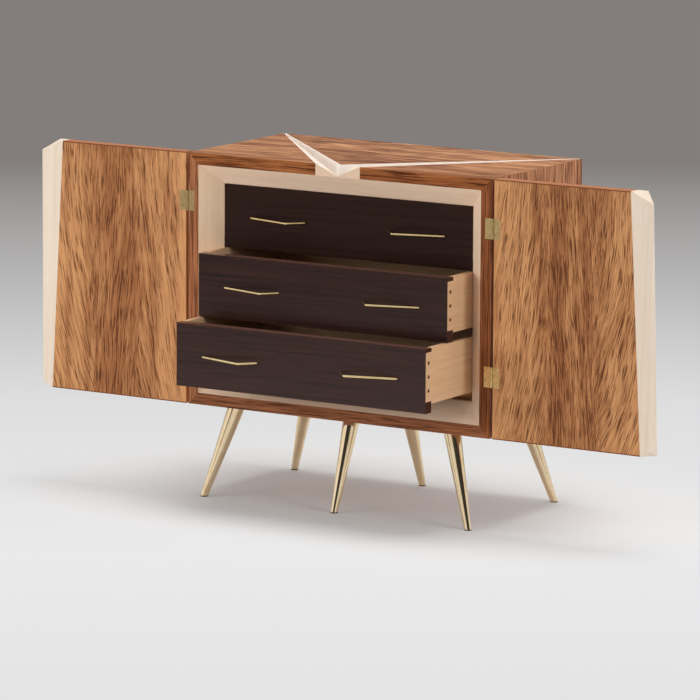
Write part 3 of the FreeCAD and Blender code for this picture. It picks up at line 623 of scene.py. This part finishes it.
# The fronts' top edges get a painted highlight: a lighter brown, set by place, for the overhead light on
# them.
for front in (dark_front, shaded_top_front):
    cover_faces(front, "Z", DRAWER_TOPS, srgb(*TOP_EDGE_PAINTED_HIGHLIGHT))
dark_peg = straight_wood("dark_peg", "X", "Z", PEG, ring=2.0, line=0.5, gloss=0.5, pore=0.4, seed=6.6)
door_lipping = straight_wood("door_lipping", "X", "Y", LIPPING, ring=7.0, line=1.0, gloss=0.42, pore=0.4,
                             seed=8.2, shine=0.02)
cover_faces(door_lipping, "Y", (FRONT_PLANE,), srgb(*LIPPING_FRONT))
runner_brown = straight_wood("runner_brown", "Y", "Z", BROWN, ring=8.0, line=1.0, gloss=0.55, pore=0.4,
                             seed=9.4)
# The rail is painted pale, a painted light for the light that reaches it under the bottom drawer.
rail_painted_light = straight_wood("rail_painted_light", "X", "Z", RAIL_PAINTED_LIGHT, ring=12.0, line=1.2, gloss=0.55, pore=0.4, seed=8.7)
back_brown = straight_wood("back_brown", "X", "Z", BROWN, ring=12.0, line=1.2, gloss=0.55, pore=0.4, seed=9.9)
print("dark woods made; drawer tops at", [round(level, 2) for level in DRAWER_TOPS])

# %% [markdown]
# Three brasses: the legs are turned and polished, the pulls are drawn rod with a soft
# polish, and the hinges are older satin brass that has gone a little olive. Metal has
# no diffuse colour of its own, so the life comes from uneven roughness: faint turning
# lines round the legs, wipe marks, and a thin tarnish that dulls the hinges in patches.

# %% Brass
TURNING_LINES = (140, 140, 2600)
TARNISH_SPAN = (0.38, 0.72)
TURNED_SHARE, SMOOTHEST_SHARE = 0.6, 0.8


def brass(name, colour, tarnish, roughness, spread, mark_scale):
    """Metal whose tint and roughness wander with wiping and tarnish."""
    material, tree, shader = start_finish(name)
    place = put(tree, "TexCoord").outputs["Object"]
    wipe = put(tree, "TexNoise", Vector=place, Scale=mark_scale, Detail=4, Roughness=0.6).outputs["Fac"]
    lines = put(tree, "Mapping", Vector=place, Scale=TURNING_LINES)
    turned = put(tree, "TexNoise", Vector=lines.outputs["Vector"], Scale=1, Detail=2).outputs["Fac"]
    tint = ramp(tree, wipe, (TARNISH_SPAN[0], srgb(*colour)), (TARNISH_SPAN[1], srgb(*tarnish)))
    tree.links.new(tint, shader.inputs["Base Color"])
    smoothest = roughness - spread * SMOOTHEST_SHARE
    marks = math_node(tree, "MULTIPLY_ADD", turned, spread * TURNED_SHARE, smoothest)
    tree.links.new(math_node(tree, "MULTIPLY_ADD", wipe, spread, marks), shader.inputs["Roughness"])
    shader.inputs["Metallic"].default_value = 1.0
    return material


leg_brass = brass("polished_leg_brass", (242, 219, 182), (228, 201, 158), roughness=0.085, spread=0.03,
                  mark_scale=30)
pull_brass = brass("pull_rod_brass", (250, 224, 168), (234, 202, 142), roughness=0.18, spread=0.08,
                   mark_scale=60)
hinge_brass = brass("satin_hinge_brass", (238, 206, 146), (200, 166, 110), roughness=0.36, spread=0.16,
                    mark_scale=140)
print("brasses:", leg_brass.name, pull_brass.name, hinge_brass.name)

# %% [markdown]
# The feet end in thin dark pads that keep the metal off the floor. They are plain
# moulded rubber, so a fine speckle in the roughness and the bump is enough.

# %% Foot pads
PAD_DARK, PAD_PALE = (64, 50, 40), (84, 68, 56)
SPECKLE_SCALE, SPECKLE_SPAN, SPECKLE_RELIEF = 900, (0.3, 0.7), 0.05
PAD_ROUGHNESS, PAD_SPREAD = 0.6, 0.2
pad_rubber, tree, shader = start_finish("pad_rubber")
place = put(tree, "TexCoord").outputs["Object"]
speckle = put(tree, "TexNoise", Vector=place, Scale=SPECKLE_SCALE, Detail=3).outputs["Fac"]
tint = ramp(tree, speckle, (SPECKLE_SPAN[0], srgb(*PAD_DARK)), (SPECKLE_SPAN[1], srgb(*PAD_PALE)))
tree.links.new(tint, shader.inputs["Base Color"])
dulling = math_node(tree, "MULTIPLY_ADD", speckle, PAD_SPREAD, PAD_ROUGHNESS)
tree.links.new(dulling, shader.inputs["Roughness"])
raise_grain(tree, shader, speckle, SPECKLE_RELIEF)
print("pads:", pad_rubber.name)

# %% [markdown]
# Each solid now takes its finish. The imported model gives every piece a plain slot, and
# putting a material in that slot replaces the plain one. The table goes from the
# ending of a piece's name to its finish; the first match wins.

# %% Dress every piece
FINISHES = (
    ("left_door_panel", left_veneer), ("right_door_panel", right_veneer), ("_lippings", door_lipping),
    ("_strip", maple_up), ("_fold", maple_back),
    ("splay_top", frame_across), ("splay_base", frame_across),
    ("splay_left", frame_left), ("splay_right", frame_up),
    ("base_panel", base_veneer),
    ("left_side_panel", left_side_veneer), ("right_side_panel", right_side_veneer),
    ("top_centre_panel", centre_veneer), ("top_left_panel", top_veneer), ("top_right_panel", top_veneer),
    ("top_drawer_front", shaded_top_front), ("drawer_front", dark_front), ("_pegs", dark_peg),
    ("drawer_left_side", drawer_maple), ("drawer_right_side", drawer_maple),
    ("drawer_back", drawer_maple_across), ("drawer_bottom", shaded_tray_maple),
    ("_runners", runner_brown), ("front_rail", rail_painted_light),
    ("_liner", back_brown), ("back_panel", back_brown),
    ("_leg", leg_brass), ("leg_studs", leg_brass), ("foot_pads", pad_rubber), ("_pulls", pull_brass),
    ("_leaves", hinge_brass), ("_pins", hinge_brass), ("_screws", hinge_brass),
)
for name, piece in nodes.items():
    finish = next(finish for ending, finish in FINISHES if name.endswith(ending))
    piece.data.materials.clear()
    piece.data.materials.append(finish)
print("dressed", len(nodes), "pieces")

# %% [markdown]
# The hinge screws are countersunk wood screws with a single slot. The solid model has
# the plain screw, so one is worked up here: a shank, whose end face is drawn out and
# widened into the countersunk head, then a strip across the head is cut free by two
# parallel planes, pushed in and shortened to make the slot. The other end is drawn out
# to a point.

# %% One slotted screw
HEAD_RADIUS, SHANK_RADIUS, HEAD_SINK, SCREW_LENGTH, TIP_LENGTH = 3.0, 1.5, 1.5, 15.0, 2.0
SLOT_HALF, SLOT_DEPTH, SLOT_FLOOR, TIP_TAPER = 0.45, 0.8, 0.66, 0.2
SCREW_SIDES, SMOOTH_ANGLE = 32, 35
FLAT = 0.9


def pick_faces(piece, wanted):
    """Select the faces that a test picks, by centre and normal, and go to Edit Mode."""
    bpy.ops.object.mode_set(mode="OBJECT")
    for part in list(piece.data.vertices) + list(piece.data.edges):
        part.select = False
    for face in piece.data.polygons:
        face.select = wanted(face.center / MILLIMETRE, face.normal)
    bpy.ops.object.mode_set(mode="EDIT")


def draw_out(rise, widen):
    """Draw the selected faces out along the screw, then scale them in x and y."""
    bpy.ops.mesh.extrude_region_move(TRANSFORM_OT_translate={"value": (0, 0, rise * MILLIMETRE)})
    bpy.ops.transform.resize(value=(*widen, 1))


def slotted_screw():
    """One screw with its head at the origin, looking up."""
    bpy.ops.object.select_all(action="DESELECT")
    length = SCREW_LENGTH - HEAD_SINK - TIP_LENGTH
    middle = -(HEAD_SINK + length / 2) * MILLIMETRE
    bpy.ops.mesh.primitive_cylinder_add(vertices=SCREW_SIDES, radius=SHANK_RADIUS * MILLIMETRE,
                                        depth=length * MILLIMETRE, location=(0, 0, middle))
    screw = bpy.context.object
    bpy.ops.object.transform_apply(location=True)
    bpy.ops.object.mode_set(mode="EDIT")
    bpy.ops.mesh.select_mode(type="FACE")
    pick_faces(screw, lambda centre, normal: normal.z > FLAT)
    draw_out(HEAD_SINK, (HEAD_RADIUS / SHANK_RADIUS, HEAD_RADIUS / SHANK_RADIUS))
    for side in (-1, 1):
        pick_faces(screw, lambda centre, normal: normal.z > FLAT)
        bpy.ops.mesh.bisect(plane_co=(side * SLOT_HALF * MILLIMETRE, 0, 0), plane_no=(1, 0, 0))
    pick_faces(screw, lambda centre, normal: normal.z > FLAT and abs(centre.x) < SLOT_HALF)
    draw_out(-SLOT_DEPTH, (1, SLOT_FLOOR))
    pick_faces(screw, lambda centre, normal: normal.z < -FLAT and centre.z < -length)
    draw_out(-TIP_LENGTH, (TIP_TAPER, TIP_TAPER))
    bpy.ops.object.mode_set(mode="OBJECT")
    bpy.ops.object.shade_smooth_by_angle(angle=math.radians(SMOOTH_ANGLE))
    return screw


pattern = slotted_screw()
print("one screw,", len(pattern.data.polygons), "faces")

# %% [markdown]
# Every screw is a copy of that one, turned so that the slots stand as a hand leaves
# them. The screws of each board become one piece that moves with it and takes the place
# of the plain ones.

# %% Drive the screws
HINGE_LEVELS, SCREW_STEPS = (679.5, 348.0), (-15.0, 0.0, 15.0)
SCREW_LEVELS = [height + step for height in HINGE_LEVELS for step in SCREW_STEPS]
CASE_SCREW, DOOR_SCREW = 392.075, 415.125
SLOT_TURNS = (18, 74, -35, 52, -12, 88)


def drive_screws(name, places, turn):
    """Copies of the screw at these places, heads looking forwards, joined as one piece."""
    copies = []
    for number, place in enumerate(places):
        made = pattern.copy()
        made.data = pattern.data.copy()
        scene.collection.objects.link(made)
        made.location = [value * MILLIMETRE for value in place]
        slot = SLOT_TURNS[(number + turn) % len(SLOT_TURNS)]
        made.rotation_euler = (math.radians(90), math.radians(slot), 0)
        copies.append(made)
    bpy.ops.object.select_all(action="DESELECT")
    for made in copies:
        made.select_set(True)
    bpy.context.view_layer.objects.active = copies[0]
    bpy.ops.object.join()
    bpy.ops.object.transform_apply(location=True, rotation=True, scale=True)
    piece = bpy.context.object
    piece.name = name
    piece.data.materials.clear()
    piece.data.materials.append(hinge_brass)
    return piece


rows = {"case": [(sign * CASE_SCREW, FRONT_PLANE, level) for sign in (-1, 1) for level in SCREW_LEVELS],
        "left_door": [(-DOOR_SCREW, FRONT_PLANE, level) for level in SCREW_LEVELS],
        "right_door": [(DOOR_SCREW, FRONT_PLANE, level) for level in SCREW_LEVELS]}
for turn, (body, places) in enumerate(rows.items()):
    screws = drive_screws(f"{body}_slotted_screws", places, turn)
    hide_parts(f"{body}_hinge_screws")
    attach(screws, "carcase" if body == "case" else body)
    print(screws.name, len(places), "screws,", len(screws.data.polygons), "faces")
bpy.data.objects.remove(pattern)

# %% [markdown]
# A sharp solid edge never catches the light, but a worked edge does. The drawer fronts
# stand free, so their arrises are eased by a little over half a millimetre with a Bevel
# modifier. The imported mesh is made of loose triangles, which a Weld modifier joins first.

# %% Eased arrises
JOIN_DISTANCE = 0.00001
ARRIS, ARRIS_STEPS, ARRIS_ANGLE = 0.0006, 2, 40
for name, piece in nodes.items():
    if name.endswith("drawer_front"):
        joined = piece.modifiers.new("join_triangles", "WELD")
        joined.merge_threshold = JOIN_DISTANCE
        eased = piece.modifiers.new("eased_arris", "BEVEL")
        eased.width = ARRIS
        eased.segments = ARRIS_STEPS
        eased.limit_method = "ANGLE"
        eased.angle_limit = math.radians(ARRIS_ANGLE)
        print("eased", name)
